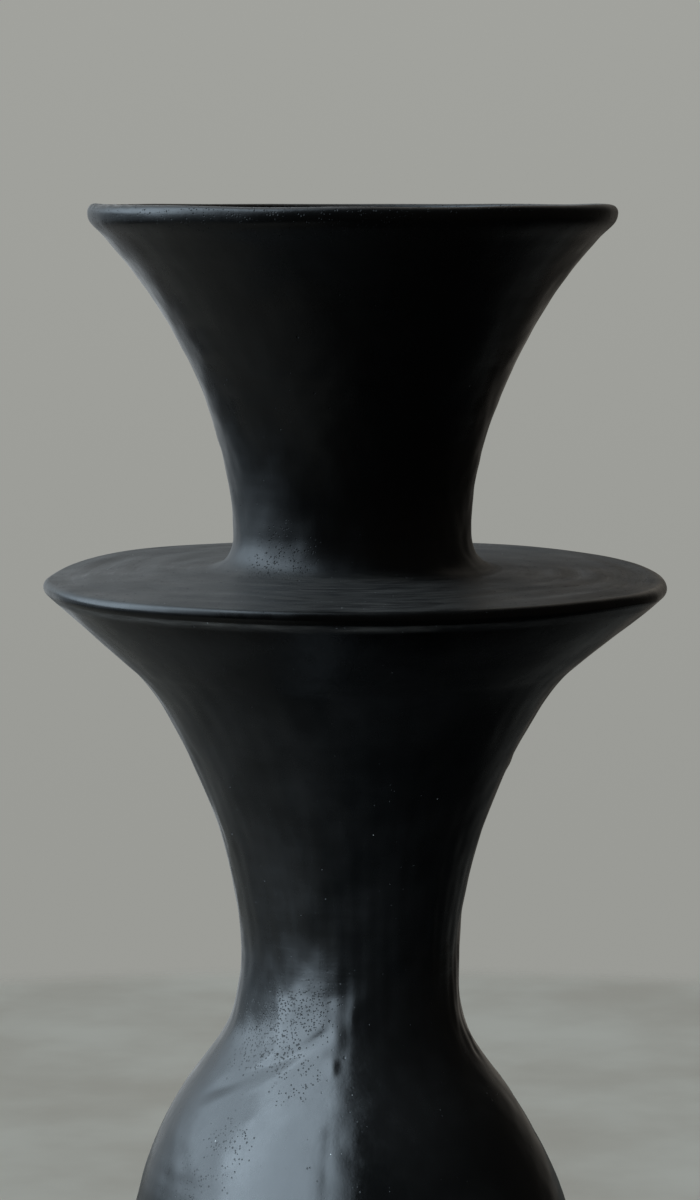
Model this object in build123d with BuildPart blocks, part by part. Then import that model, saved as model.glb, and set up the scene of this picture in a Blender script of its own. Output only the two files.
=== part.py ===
from build123d import *
import os
from math import cos, radians, sin, tan

# A black clay pot (barro negro): a round body, a waisted trumpet that carries a flat plate, and a
# second trumpet that stands on the plate and opens to the mouth. The whole pot is hollow and open
# at the mouth.
#
# Such a pot is put together from separate pieces of leather-hard clay: walls raised in courses, a
# flat slab and plate, and coils that are smoothed over the seams. Each part below is one of those
# pieces, and every piece meets its neighbours face to face where they are luted.
#
# Millimetres. +Z is up and the origin is the centre of the foot, on the surface it stands on.
# A lean is how far a wall tips outwards as it rises, in degrees from upright.

# --- driving dimensions -------------------------------------------------------------------------
TOTAL_HEIGHT = 410.0
WALL = 5.5

# Foot and body
FOOT_RADIUS = 40.0
FOOT_LEAN = 52.0
FOOT_ROUND = 1.5
BASE_THICKNESS = 7.0
BELLY_RADIUS = 73.0
BELLY_HEIGHT = 66.0
SHOULDER_RADIUS = 50.0
SHOULDER_HEIGHT = 127.0
SHOULDER_LEAN = -37.9

# Lower trumpet
WAIST_RADIUS = 35.5
WAIST_HEIGHT = 167.8
RISE_RADIUS = 49.8
RISE_HEIGHT = 227.4
RISE_LEAN = 23.9
BRIM_LEAN = 49.8
BRIM_LENGTH = 37.0

# Plate
PLATE_RADIUS = 100.0
PLATE_HEIGHT = 287.6
PLATE_THICKNESS = 5.5
PLATE_FALL = 4.2
EDGE_ROUND = 2.3
EDGE_COIL_WIDTH = 7.0

# Upper trumpet
NECK_RADIUS = 37.9
NECK_RISE = 6.3
MOUTH_RADIUS = 84.6
MOUTH_LEAN = 44.5
LIP_ROUND = 2.5
LIP_HEIGHT = 10.9
LIP_OVERHANG = 5.9

# Luting coils
BAND_LENGTH = 18.0
BAND_DEPTH = 3.5
CORNER_LEG = 10.0
NECK_COIL_HEIGHT = 5.8
NECK_COIL_WIDTH = 6.4
COIL_HOLLOW = 0.6

# How far each wall keeps the lean of its lower and upper end, as shares of the distance between them
BOWL_PULLS = (0.34, 0.40)
DOME_PULLS = (0.46, 0.12)
COLLAR_PULLS = (0.50, 0.40)
FLARE_PULLS = (0.34, 0.31)
BRIM_PULLS = (0.47, 0.15)
TRUMPET_PULLS = (0.40, 0.24)
LIP_PULLS = (0.40, 0.30)

os.makedirs("parts", exist_ok=True)


# --- helpers ------------------------------------------------------------------------------------
def rising(lean):
    """Direction in which a wall with this lean goes up."""
    return Vector(sin(radians(lean)), cos(radians(lean)))


def through(lean):
    """Direction through that wall, from its outside to its inside."""
    return Vector(-cos(radians(lean)), sin(radians(lean)))


def meet(point, direction, other_point, other_direction):
    """Point where two straight lines cross."""
    gap = other_point - point
    share = gap.cross(other_direction).Z / direction.cross(other_direction).Z
    return point + direction * share


def wall_curve(start, start_lean, end, end_lean, pulls):
    """Smooth wall line that leaves one point and reaches the other at the given leans."""
    reach = (end - start).length
    start_handle = start + rising(start_lean) * reach * pulls[0]
    end_handle = end - rising(end_lean) * reach * pulls[1]
    return Bezier(start, start_handle, end_handle, end)


def hollow_curve(start, corner, end):
    """Concave outer line of a coil smoothed into a corner."""
    middle = (start + end) / 2
    return Bezier(start, middle + (corner - middle) * COIL_HOLLOW, end)


def save(builder, name):
    builder.part.label = name
    export_step(builder.part, f"parts/{name}.step")


# --- seam points, as (radius, height) -----------------------------------------------------------
# Foot seam: the bowl stands flat on the slab
foot_out = Vector(FOOT_RADIUS + BASE_THICKNESS * tan(radians(FOOT_LEAN)), BASE_THICKNESS)
foot_in = foot_out - Vector(WALL / cos(radians(FOOT_LEAN)), 0)

# Belly seam and shoulder seam, square through the wall
belly_out = Vector(BELLY_RADIUS, BELLY_HEIGHT)
belly_in = belly_out + through(0) * WALL
shoulder_out = Vector(SHOULDER_RADIUS, SHOULDER_HEIGHT)
shoulder_in = shoulder_out + through(SHOULDER_LEAN) * WALL

# Waist, the narrowest place of the lower trumpet, and the seam halfway up its flare
waist_out = Vector(WAIST_RADIUS, WAIST_HEIGHT)
waist_in = waist_out + through(0) * WALL
rise_out = Vector(RISE_RADIUS, RISE_HEIGHT)
rise_in = rise_out + through(RISE_LEAN) * WALL

# Plate edge: a round that runs from the trumpet's straight brim to the plate's top
outwards = Vector(cos(radians(PLATE_FALL)), -sin(radians(PLATE_FALL)))
upwards = Vector(sin(radians(PLATE_FALL)), cos(radians(PLATE_FALL)))
edge_centre = Vector(PLATE_RADIUS - EDGE_ROUND, PLATE_HEIGHT)
edge_tip = Vector(PLATE_RADIUS, PLATE_HEIGHT)
edge_low = edge_centre - through(BRIM_LEAN) * EDGE_ROUND
edge_high = edge_centre + upwards * EDGE_ROUND
underside = edge_high - upwards * PLATE_THICKNESS

# Straight brim of the lower trumpet, cut off at the plate's underside
bend_out = edge_low - rising(BRIM_LEAN) * BRIM_LENGTH
bend_in = bend_out + through(BRIM_LEAN) * WALL
brim_out = meet(bend_out, rising(BRIM_LEAN), underside, outwards)
brim_in = meet(bend_in, rising(BRIM_LEAN), underside, outwards)


def plate_top(radius):
    """Point on the plate's top at this radius."""
    return meet(Vector(radius, 0), Vector(0, 1), edge_high, outwards)


def plate_under(radius):
    """Point on the plate's underside at this radius."""
    return meet(Vector(radius, 0), Vector(0, 1), underside, outwards)


edge_seam = PLATE_RADIUS - EDGE_COIL_WIDTH
neck_bore = NECK_RADIUS - WALL

# Neck, the narrowest place of the upper trumpet
neck_out = plate_top(NECK_RADIUS) + Vector(0, NECK_RISE)
neck_in = neck_out + through(0) * WALL

# Mouth seam, square through the wall below the lip
mouth_out = Vector(MOUTH_RADIUS - LIP_OVERHANG, TOTAL_HEIGHT - LIP_HEIGHT)
mouth_in = mouth_out + through(MOUTH_LEAN) * WALL
lip_centre = Vector(MOUTH_RADIUS - LIP_ROUND, TOTAL_HEIGHT - LIP_ROUND)
lip_out = lip_centre + Vector(LIP_ROUND, 0)
lip_in = lip_centre - Vector(LIP_ROUND, 0)

# --- body ---------------------------------------------------------------------------------------
# Flat disc whose side already leans like the bowl that stands on it
with BuildPart() as base_slab:
    with BuildSketch(Plane.XZ):
        with BuildLine():
            Polyline((0, 0), (FOOT_RADIUS, 0), foot_out, (0, BASE_THICKNESS), close=True)
        make_face()
    revolve(axis=Axis.Z)
    fillet(base_slab.edges().group_by(Axis.Z)[0], radius=FOOT_ROUND)
save(base_slab, "base_slab")

# Lower half of the body, from the slab to the widest place
with BuildPart() as body_bowl:
    with BuildSketch(Plane.XZ):
        with BuildLine():
            wall_curve(foot_out, FOOT_LEAN, belly_out, 0, BOWL_PULLS)
            Line(belly_out, belly_in)
            wall_curve(foot_in, FOOT_LEAN, belly_in, 0, BOWL_PULLS)
            Line(foot_in, foot_out)
        make_face()
    revolve(axis=Axis.Z)
save(body_bowl, "body_bowl")

# Upper half of the body, closing in to the shoulder
with BuildPart() as body_dome:
    with BuildSketch(Plane.XZ):
        with BuildLine():
            wall_curve(belly_out, 0, shoulder_out, SHOULDER_LEAN, DOME_PULLS)
            Line(shoulder_out, shoulder_in)
            wall_curve(belly_in, 0, shoulder_in, SHOULDER_LEAN, DOME_PULLS)
            Line(belly_in, belly_out)
        make_face()
    revolve(axis=Axis.Z)
save(body_dome, "body_dome")

# --- lower trumpet, raised in three courses ------------------------------------------------------
# Collar on the body, drawing in to the waist
with BuildPart() as waist_collar:
    with BuildSketch(Plane.XZ):
        with BuildLine():
            wall_curve(shoulder_out, SHOULDER_LEAN, waist_out, 0, COLLAR_PULLS)
            Line(waist_out, waist_in)
            wall_curve(shoulder_in, SHOULDER_LEAN, waist_in, 0, COLLAR_PULLS)
            Line(shoulder_in, shoulder_out)
        make_face()
    revolve(axis=Axis.Z)
save(waist_collar, "waist_collar")

# From the waist to halfway up the flare
with BuildPart() as lower_flare:
    with BuildSketch(Plane.XZ):
        with BuildLine():
            wall_curve(waist_out, 0, rise_out, RISE_LEAN, FLARE_PULLS)
            Line(rise_out, rise_in)
            wall_curve(waist_in, 0, rise_in, RISE_LEAN, FLARE_PULLS)
            Line(waist_in, waist_out)
        make_face()
    revolve(axis=Axis.Z)
save(lower_flare, "lower_flare")

# The widest course, with a straight brim that ends at the plate's underside
with BuildPart() as flare_brim:
    with BuildSketch(Plane.XZ):
        with BuildLine():
            wall_curve(rise_out, RISE_LEAN, bend_out, BRIM_LEAN, BRIM_PULLS)
            Line(bend_out, brim_out)
            Line(brim_out, brim_in)
            Line(brim_in, bend_in)
            wall_curve(rise_in, RISE_LEAN, bend_in, BRIM_LEAN, BRIM_PULLS)
            Line(rise_in, rise_out)
        make_face()
    revolve(axis=Axis.Z)
save(flare_brim, "flare_brim")

# --- bands over the seams of the body, on the inside --------------------------------------------
with BuildPart() as belly_coil:
    with BuildSketch(Plane.XZ):
        with Locations(belly_in):
            Ellipse(BAND_DEPTH, BAND_LENGTH / 2)
    revolve(axis=Axis.Z)
    add(body_bowl.part, mode=Mode.SUBTRACT)
    add(body_dome.part, mode=Mode.SUBTRACT)
save(belly_coil, "belly_coil")

with BuildPart() as shoulder_coil:
    with BuildSketch(Plane.XZ):
        with Locations(shoulder_in):
            Ellipse(BAND_DEPTH, BAND_LENGTH / 2, rotation=-SHOULDER_LEAN)
    revolve(axis=Axis.Z)
    add(body_dome.part, mode=Mode.SUBTRACT)
    add(waist_collar.part, mode=Mode.SUBTRACT)
save(shoulder_coil, "shoulder_coil")

# --- plate --------------------------------------------------------------------------------------
# Fills the sharp angle between the brim and the plate, inside the hollow
with BuildPart() as corner_coil:
    with BuildSketch(Plane.XZ):
        with BuildLine():
            on_plate = brim_in - outwards * CORNER_LEG
            on_brim = brim_in - rising(BRIM_LEAN) * CORNER_LEG
            Line(brim_in, on_plate)
            hollow_curve(on_plate, brim_in, on_brim)
            Line(on_brim, brim_in)
        make_face()
    revolve(axis=Axis.Z)
save(corner_coil, "corner_coil")

# Flat plate that rests on the brim and carries the neck; its top falls a little towards the edge
with BuildPart() as plate:
    with BuildSketch(Plane.XZ):
        with BuildLine():
            Line(plate_under(neck_bore), plate_under(edge_seam))
            Line(plate_under(edge_seam), plate_top(edge_seam))
            Line(plate_top(edge_seam), plate_top(neck_bore))
            Line(plate_top(neck_bore), plate_under(neck_bore))
        make_face()
    revolve(axis=Axis.Z)
save(plate, "plate")

# Rounded edge, luted around the plate and onto the brim
with BuildPart() as plate_edge_coil:
    with BuildSketch(Plane.XZ):
        with BuildLine():
            Line(plate_under(edge_seam), brim_out)
            Line(brim_out, edge_low)
            ThreePointArc(edge_low, edge_tip, edge_high)
            Line(edge_high, plate_top(edge_seam))
            Line(plate_top(edge_seam), plate_under(edge_seam))
        make_face()
    revolve(axis=Axis.Z)
save(plate_edge_coil, "plate_edge_coil")

# --- upper trumpet ------------------------------------------------------------------------------
# Stands on the plate around its hole and opens to the mouth
with BuildPart() as upper_flare:
    with BuildSketch(Plane.XZ):
        with BuildLine():
            Line(plate_top(NECK_RADIUS), neck_out)
            wall_curve(neck_out, 0, mouth_out, MOUTH_LEAN, TRUMPET_PULLS)
            Line(mouth_out, mouth_in)
            wall_curve(neck_in, 0, mouth_in, MOUTH_LEAN, TRUMPET_PULLS)
            Line(neck_in, plate_top(neck_bore))
            Line(plate_top(neck_bore), plate_top(NECK_RADIUS))
        make_face()
    revolve(axis=Axis.Z)
save(upper_flare, "upper_flare")

# Smoothed into the angle between the neck and the plate's top
with BuildPart() as neck_coil:
    with BuildSketch(Plane.XZ):
        with BuildLine():
            corner = plate_top(NECK_RADIUS)
            on_neck = corner + Vector(0, NECK_COIL_HEIGHT)
            on_top = plate_top(NECK_RADIUS + NECK_COIL_WIDTH)
            Line(corner, on_neck)
            hollow_curve(on_neck, corner, on_top)
            Line(on_top, corner)
        make_face()
    revolve(axis=Axis.Z)
save(neck_coil, "neck_coil")

# Rounded lip, a little thinner than the wall and turned up from it
with BuildPart() as mouth_lip_coil:
    with BuildSketch(Plane.XZ):
        with BuildLine():
            wall_curve(mouth_out, MOUTH_LEAN, lip_out, 0, LIP_PULLS)
            CenterArc(lip_centre, LIP_ROUND, 0, 180)
            wall_curve(mouth_in, MOUTH_LEAN, lip_in, 0, LIP_PULLS)
            Line(mouth_in, mouth_out)
        make_face()
    revolve(axis=Axis.Z)
save(mouth_lip_coil, "mouth_lip_coil")
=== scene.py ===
# %% [markdown]
# # A black clay pot
# The pot is one hollow body of clay, put together while the clay was leather-hard: a round body, a
# waisted trumpet that carries a flat plate, and a second trumpet that stands on the plate and opens
# to the mouth. It was then burnished with a stone and fired in smoke, which turns it black.
#
# The frame that this script loads holds each piece at its true size as a perfect turned shape. The
# work here is the other half: every piece gets a hand-made form, with the small lean, flats, bands
# and dents of real work, and then a finish. Everything is in metres, +Z up, standing at the origin.

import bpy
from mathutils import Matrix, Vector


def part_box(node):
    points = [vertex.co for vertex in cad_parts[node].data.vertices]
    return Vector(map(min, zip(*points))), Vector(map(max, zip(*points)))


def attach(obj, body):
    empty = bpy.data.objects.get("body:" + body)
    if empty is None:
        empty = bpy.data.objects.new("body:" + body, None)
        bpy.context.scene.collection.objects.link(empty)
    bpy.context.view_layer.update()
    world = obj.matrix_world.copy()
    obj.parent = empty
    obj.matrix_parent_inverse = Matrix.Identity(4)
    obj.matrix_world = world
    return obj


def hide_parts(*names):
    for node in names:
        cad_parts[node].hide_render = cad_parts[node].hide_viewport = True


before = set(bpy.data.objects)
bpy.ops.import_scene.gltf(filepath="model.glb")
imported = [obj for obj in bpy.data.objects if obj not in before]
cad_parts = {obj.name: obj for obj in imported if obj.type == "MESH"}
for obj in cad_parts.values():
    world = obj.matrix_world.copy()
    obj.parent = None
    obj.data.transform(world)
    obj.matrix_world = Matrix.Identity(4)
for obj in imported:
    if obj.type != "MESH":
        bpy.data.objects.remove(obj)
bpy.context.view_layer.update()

# %% Tools for the work
from math import cos, degrees, pi, radians, sin, tan

import bmesh
import bpy
import numpy as np

MM = 0.001

# %% [markdown]
# ## The outline
# A turned wall is drawn as its outline: a line in the plane of radius and height that is spun round
# the axis. A wall's lean is how far it tips outwards as it rises. Two leans and two pulls describe a
# whole course of wall: the line sets off with one lean, arrives with the other, and the pulls say
# how long it holds on to each. That is exactly what a cubic Bezier curve does.
#
# The line could be a curve object, spun with the Screw modifier. It is worked out in code instead,
# because every one of its points goes through the maker's hand further down.
#
# The radii and heights are read from the frame, so the looks follow the frame if a size changes.
# Only what a box can't tell, such as leans and thickness, is written here. Leans are in degrees from
# upright, and the plate's fall is in degrees from level.


# %% Heights and radii from the frame
def top(node):
    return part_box(node)[1].z


def reach(node):
    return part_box(node)[1].x


WALL = 5.5 * MM
FOOT_LEAN = 52.0
SHOULDER_LEAN = -37.9
WAIST_RADIUS = 35.5 * MM
RISE_LEAN = 23.9
BRIM_LEAN = 49.8
BRIM_LENGTH = 37.0 * MM
PLATE_FALL = 4.2
PLATE_THICKNESS = 5.5 * MM
EDGE_ROUND = 2.3 * MM
NECK_RADIUS = 37.9 * MM
MOUTH_LEAN = 44.5
LIP_ROUND = 2.5 * MM

print("belly", reach("body_bowl"), "plate", reach("plate_edge_coil"), "mouth", reach("mouth_lip_coil"))

# %% [markdown]
# These are small helpers for drawing in the plane of radius and height. Rows along a line crowd
# together towards its ends, because a seam shows up as a line of its own when the rows on the two
# sides of it are far apart and their shading can't agree.


# %% Drawing lines
def rising(lean):
    """The direction up a wall with this lean."""
    return np.array([sin(radians(lean)), cos(radians(lean))])


def through(lean):
    """The direction from a wall's outside straight to its inside."""
    return np.array([-cos(radians(lean)), sin(radians(lean))])


def meet(point, direction, other_point, other_direction):
    """The place where two straight lines cross."""
    gap = other_point - point
    cross = direction[0] * other_direction[1] - direction[1] * other_direction[0]
    return point + direction * (gap[0] * other_direction[1] - gap[1] * other_direction[0]) / cross


def steps(rows):
    """Shares from 0 to 1, close together at both ends."""
    return (0.5 - 0.5 * np.cos(np.linspace(0, pi, rows + 1)))[:, None]


def straight(start, end, rows):
    return start + (end - start) * steps(rows)


def bend(start, corner, end, rows):
    """A curve that leaves start towards corner and reaches end from corner."""
    t = steps(rows)
    return start * (1 - t) ** 2 + corner * 2 * t * (1 - t) + end * t**2


def bezier(start, leaving, arriving, end, rows):
    """A curve that leaves start towards leaving and reaches end from arriving."""
    t = steps(rows)
    early = start * (1 - t) ** 3 + leaving * 3 * t * (1 - t) ** 2
    return early + arriving * 3 * t**2 * (1 - t) + end * t**3


# How far a held bend keeps to its two directions: at 1 it would be all the way to the corner
HOLD = 0.62


def held_bend(start, corner, end, rows):
    """Like bend, but it keeps to both directions for longer, so its ends don't show."""
    return bezier(start, start + (corner - start) * HOLD, end + (corner - end) * HOLD, end, rows)


def wall_line(start, start_lean, end, end_lean, pulls, rows):
    """A course of wall that sets off with one lean and arrives with the other."""
    distance = np.linalg.norm(end - start)
    leaving = start + rising(start_lean) * distance * pulls[0]
    arriving = end - rising(end_lean) * distance * pulls[1]
    return bezier(start, leaving, arriving, end, rows)


def arc(centre, radius, first, last, rows):
    angle = np.radians(first + (last - first) * np.linspace(0, 1, rows + 1))
    return centre + radius * np.column_stack([np.cos(angle), np.sin(angle)])


print("a wall line of 4 rows:", wall_line(np.zeros(2), 0, np.ones(2), 45, (0.4, 0.3), 4).round(2).tolist())

# %% [markdown]
# The places where the pieces are luted together come next. Each could be typed twice, once for each
# piece, but it is found once and both pieces use it, so their edges meet exactly.

# %% Seam points
# How far the coil of the plate's edge laps down over the brim
EDGE_LAP = 0.4 * MM
# How high above the plate the upper trumpet's own outline starts
NECK_START = 6.3 * MM

foot_out = np.array([reach("base_slab"), top("base_slab")])
foot_in = foot_out - [WALL / cos(radians(FOOT_LEAN)), 0]
foot_corner = np.array([foot_out[0] - foot_out[1] * tan(radians(FOOT_LEAN)), 0.0])

belly_out = np.array([reach("body_bowl"), top("body_bowl")])
belly_in = belly_out + through(0) * WALL
shoulder_out = np.array([reach("waist_collar"), top("body_dome")])
shoulder_in = shoulder_out + through(SHOULDER_LEAN) * WALL
waist_out = np.array([WAIST_RADIUS, top("waist_collar")])
waist_in = waist_out + through(0) * WALL
rise_out = np.array([reach("lower_flare"), top("lower_flare") - WALL * sin(radians(RISE_LEAN))])
rise_in = rise_out + through(RISE_LEAN) * WALL

outwards = np.array([cos(radians(PLATE_FALL)), -sin(radians(PLATE_FALL))])
upwards = np.array([sin(radians(PLATE_FALL)), cos(radians(PLATE_FALL))])
edge_seam = reach("plate")
edge_centre = np.array([reach("plate_edge_coil") - EDGE_ROUND, 0.0])
edge_centre[1] = top("plate_edge_coil") - EDGE_ROUND * upwards[1]
edge_centre[1] -= (edge_centre[0] + EDGE_ROUND * upwards[0] - edge_seam) * tan(radians(PLATE_FALL))
edge_low = edge_centre - through(BRIM_LEAN) * EDGE_ROUND
edge_high = edge_centre + upwards * EDGE_ROUND
underside = edge_high - upwards * PLATE_THICKNESS
bend_out = edge_low - rising(BRIM_LEAN) * BRIM_LENGTH
bend_in = bend_out + through(BRIM_LEAN) * WALL
brim_out = meet(bend_out, rising(BRIM_LEAN), underside, outwards)
brim_in = meet(bend_in, rising(BRIM_LEAN), underside, outwards)
brim_top = edge_low - rising(BRIM_LEAN) * EDGE_LAP


def plate_top(radius):
    """The place on the plate's upper face at this radius."""
    return meet(np.array([radius, 0.0]), np.array([0.0, 1.0]), edge_high, outwards)


def plate_under(radius):
    """The place on the plate's lower face at this radius."""
    return meet(np.array([radius, 0.0]), np.array([0.0, 1.0]), underside, outwards)


neck_bore = NECK_RADIUS - WALL
neck_out = plate_top(NECK_RADIUS) + [0, NECK_START]
neck_in = neck_out + through(0) * WALL
mouth_out = np.array([reach("upper_flare"), top("upper_flare") - WALL * sin(radians(MOUTH_LEAN))])
mouth_in = mouth_out + through(MOUTH_LEAN) * WALL
lip_centre = np.array([reach("mouth_lip_coil") - LIP_ROUND, top("mouth_lip_coil") - LIP_ROUND])
lip_out = lip_centre + [LIP_ROUND, 0]
lip_in = lip_centre - [LIP_ROUND, 0]
print("plate edge at", edge_centre, "neck at", neck_out, "mouth seam at", mouth_out)

# %% [markdown]
# ## The maker's hand
# Nothing made by hand is a perfect solid of revolution. The slow errors come first: the pot drifts a
# little off its axis, its round is not quite round, and the plate stands higher at the back. Then
# come the flats that the burnishing stone leaves, the bands from turning, and single dents and
# grooves.
#
# This could be sculpted piece by piece. Here it is one function that moves any point of the pot.
# Every piece goes through it, so neighbours still meet, and the inside follows the outside as a clay
# wall does.


# %% Bumps and waves
# Keeps a sum of waves mostly between -1 and 1
CALM = 0.6
# Wavelengths so long that the waves stand straight up the wall
UPRIGHT = (1.0, 2.0)


def swell(value, centre, spread):
    """A soft bump: 1 at the centre, almost 0 two spreads away."""
    return np.exp(-(((value - centre) / spread) ** 2))


def waves(seed, count, around, lengths, angle, height):
    """A sum of waves round and up the pot, about -1 to 1. Lengths are up the wall, in metres."""
    dice = np.random.default_rng(seed)
    total = 0.0
    for _ in range(count):
        turns = dice.integers(around[0], around[1] + 1)
        slant = dice.choice([-1, 1]) * 2 * pi / dice.uniform(*lengths)
        total = total + np.cos(turns * angle + slant * height + dice.uniform(0, 2 * pi))
    return total / (count / 2) ** 0.5 * CALM


print("a wave at the front of the belly:", round(float(waves(3, 9, (2, 6), (0.06, 0.16), -pi / 2, 0.1)), 3))

# %% [markdown]
# The slow errors are two short lists and a lift. They could be one big wave, but each of them is a
# thing that a hand did at one height, so each has a line of its own that can be changed alone.

# %% Slow errors of the form
# Sideways drift of the axis, as (height, how far to the right, spread)
DRIFTS = [
    (122 * MM, -2.1 * MM, 27 * MM),
    (136 * MM, -0.5 * MM, 12 * MM),
    (154 * MM, -0.4 * MM, 9 * MM),
    (196 * MM, -0.5 * MM, 30 * MM),
    (284 * MM, 1.0 * MM, 11 * MM),
    (368 * MM, 0.3 * MM, 14 * MM),
    (409 * MM, 0.5 * MM, 7 * MM),
]
# Wider or narrower rings, as (height, how much wider, spread)
RINGS = [
    (368 * MM, 0.35 * MM, 13 * MM),
    (335 * MM, -0.15 * MM, 6 * MM),
    (316 * MM, -0.4 * MM, 11 * MM),
    (281 * MM, 0.3 * MM, 6 * MM),
    (252 * MM, -0.5 * MM, 8 * MM),
    (236 * MM, -0.35 * MM, 9 * MM),
    (210 * MM, -0.15 * MM, 8 * MM),
    (188 * MM, 0.2 * MM, 7 * MM),
    (154 * MM, 0.4 * MM, 8 * MM),
    (130 * MM, 0.75 * MM, 15 * MM),
]
PLATE_LEVEL = plate_top(NECK_RADIUS)[1]
MOUTH_LEVEL = lip_out[1]
# The plate's lift begins this far below the brim's top. Up the neck it is gone at the first of two
# heights and still whole at the second
LIFT_BELOW_BRIM = 27 * MM
LIFT_GONE = (315 * MM, 298 * MM)
BACK_RISES = 3.3 * MM
FRONT_DIPS = 1.1 * MM


def drift(height):
    return sum(shift * swell(height, level, spread) for level, shift, spread in DRIFTS)


def slow_ring(radius, height, angle):
    """How much wider the wall is at this place."""
    wider = sum(grow * swell(height, level, spread) for level, grow, spread in RINGS)
    oval = 0.25 * MM * np.cos(2 * angle + 18 * height + 1.0)
    three_sided = 0.15 * MM * np.cos(3 * angle - 23 * height)
    uneven = 0.16 * MM * waves(3, 9, (2, 6), (60 * MM, 160 * MM), angle, height)
    return wider + (oval + three_sided) + uneven


def soft_step(share):
    """0 below 0, 1 above 1, and a soft step between."""
    share = np.clip(share, 0, 1)
    return share * share * (3 - 2 * share)


def smooth(value, low, high):
    return soft_step((value - low) / (high - low))


def slow_lift(radius, height, angle):
    """How much higher the plate and the mouth are at this place."""
    lifted = smooth(height, brim_out[1] - LIFT_BELOW_BRIM, edge_high[1]) * smooth(height, *LIFT_GONE)
    out_on_plate = np.clip((radius - NECK_RADIUS) / (edge_seam - NECK_RADIUS), 0, 1.05)
    tilt = 0.45 * MM - 0.15 * MM * np.cos(angle) + BACK_RISES * smooth(np.sin(angle), -0.15, 0.85)
    plate_wave = tilt + 0.3 * MM * waves(5, 6, (3, 9), UPRIGHT, angle, height)
    near_mouth = swell(height, MOUTH_LEVEL, 14 * MM)
    dip = 0.5 * MM - FRONT_DIPS * swell(np.sin(angle / 2 + pi / 4), 0, 0.5)
    mouth_wave = dip + 0.16 * MM * waves(6, 7, (3, 12), UPRIGHT, angle, height)
    return lifted * out_on_plate * plate_wave + near_mouth * mouth_wave


print("drift at the shoulder", round(float(drift(shoulder_out[1])) / MM, 2), "mm")

# %% [markdown]
# The quick errors are what the light picks out. A stone rubbed up and down leaves long narrow flats,
# turning leaves faint bands, and a thumb leaves shallow dents. Most are less than a fifth of a
# millimetre deep, and on a shiny wall that is enough to bend a reflection. A bump in the finish could
# fake them, but real points move the outline too.


# %% Marks of the tools
TRUMPET_SPAN = (138 * MM, 262 * MM)


def between(value, low, high, soft):
    """1 between low and high, falling off over the soft distance."""
    return soft_step((value - low) / soft + 0.5) * soft_step((high - value) / soft + 0.5)


def tool_marks(height, angle):
    """Depth of the stone's flats and the turning bands, outwards."""
    dents = 0.13 * MM * waves(11, 16, (4, 14), (22 * MM, 70 * MM), angle, height)
    knocks = 0.04 * MM * waves(12, 20, (12, 34), (9 * MM, 24 * MM), angle, height)
    bands = 0.045 * MM * waves(13, 14, (0, 2), (5 * MM, 15 * MM), angle, height)
    strokes = 0.05 * MM * waves(14, 22, (18, 52), (60 * MM, 240 * MM), angle, height)
    on_trumpet = between(height, *TRUMPET_SPAN, 24 * MM)
    return dents + knocks + bands * (1 - 0.7 * on_trumpet) + strokes * (0.35 + 0.65 * on_trumpet)


print("tool marks at the front of the waist", round(float(tool_marks(waist_out[1], -pi / 2)) / MM, 3), "mm")

# %% [markdown]
# Single marks are placed by bearing and height. A bearing is in degrees round the pot from the
# front, with the right-hand side positive. A dent could be pressed in with a sculpting brush, but a
# place and a size are easier to read and to move.


# %% Single marks
# The radius at which a groove's length round the pot is reckoned, and how its ends run out
SLASH_RADIUS = 46 * MM
SLASH_ENDS = 9 * MM


def bearing(angle):
    """Degrees from the front, -180 to 180, of an angle round the axis."""
    return (np.degrees(angle) + 90 + 180) % 360 - 180


def spot(angle, height, radius, at_bearing, at_height, size):
    """A soft round spot on the wall."""
    aside = np.radians((bearing(angle) - at_bearing + 180) % 360 - 180) * radius
    return np.exp(-((aside / size) ** 2) - ((height - at_height) / size) ** 2)


def slash(angle, height, radius, start, end, wide):
    """A soft line on the wall between two places, each a bearing and a height."""
    across = np.radians(bearing(angle) - start[0]) * radius
    run = np.array([radians(end[0] - start[0]) * radius, end[1] - start[1]])
    length = np.hypot(*run)
    along = (across * run[0] + (height - start[1]) * run[1]) / length
    off = (across * run[1] - (height - start[1]) * run[0]) / length
    ends = between(along, 0, length, SLASH_ENDS)
    return np.exp(-((off / wide) ** 2)) * ends


# Dents and lumps, as (bearing, height, size, how far they stand out)
MARKS = [
    (-6.2, 140.0 * MM, 1.7 * MM, 0.3 * MM),
    (-5.4, 138.2 * MM, 1.3 * MM, 0.2 * MM),
    (-10.8, 139.5 * MM, 2.4 * MM, -0.06 * MM),
    (-8, 166 * MM, 4.0 * MM, 0.12 * MM),
    (88, 238 * MM, 2.5 * MM, -0.7 * MM),
    (86, 231 * MM, 2.2 * MM, 0.35 * MM),
    (88, 183 * MM, 2.2 * MM, -0.2 * MM),
    (80, 137 * MM, 2.2 * MM, -0.45 * MM),
    (84, 141 * MM, 2.0 * MM, 0.3 * MM),
    (-88, 331 * MM, 3.0 * MM, -0.3 * MM),
    (92, 334 * MM, 2.6 * MM, -0.35 * MM),
    (140, 210 * MM, 5.0 * MM, -0.5 * MM),
    (-150, 118 * MM, 7.0 * MM, -0.5 * MM),
    (165, 360 * MM, 6.0 * MM, -0.45 * MM),
    (35, 95 * MM, 9.0 * MM, -0.4 * MM),
]
# Grooves and ridges, as (start, end, width, how far they stand out)
SLASHES = [
    ((-60, 127.5 * MM), (-11, 148.5 * MM), 2.1 * MM, -0.6 * MM),
    ((-58, 123.5 * MM), (-12, 143.5 * MM), 1.6 * MM, 0.2 * MM),
    ((-44, 122 * MM), (-15, 136 * MM), 3.2 * MM, -0.18 * MM),
    ((-6.5, 92 * MM), (-5.5, 124 * MM), 1.2 * MM, -0.09 * MM),
]


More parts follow.
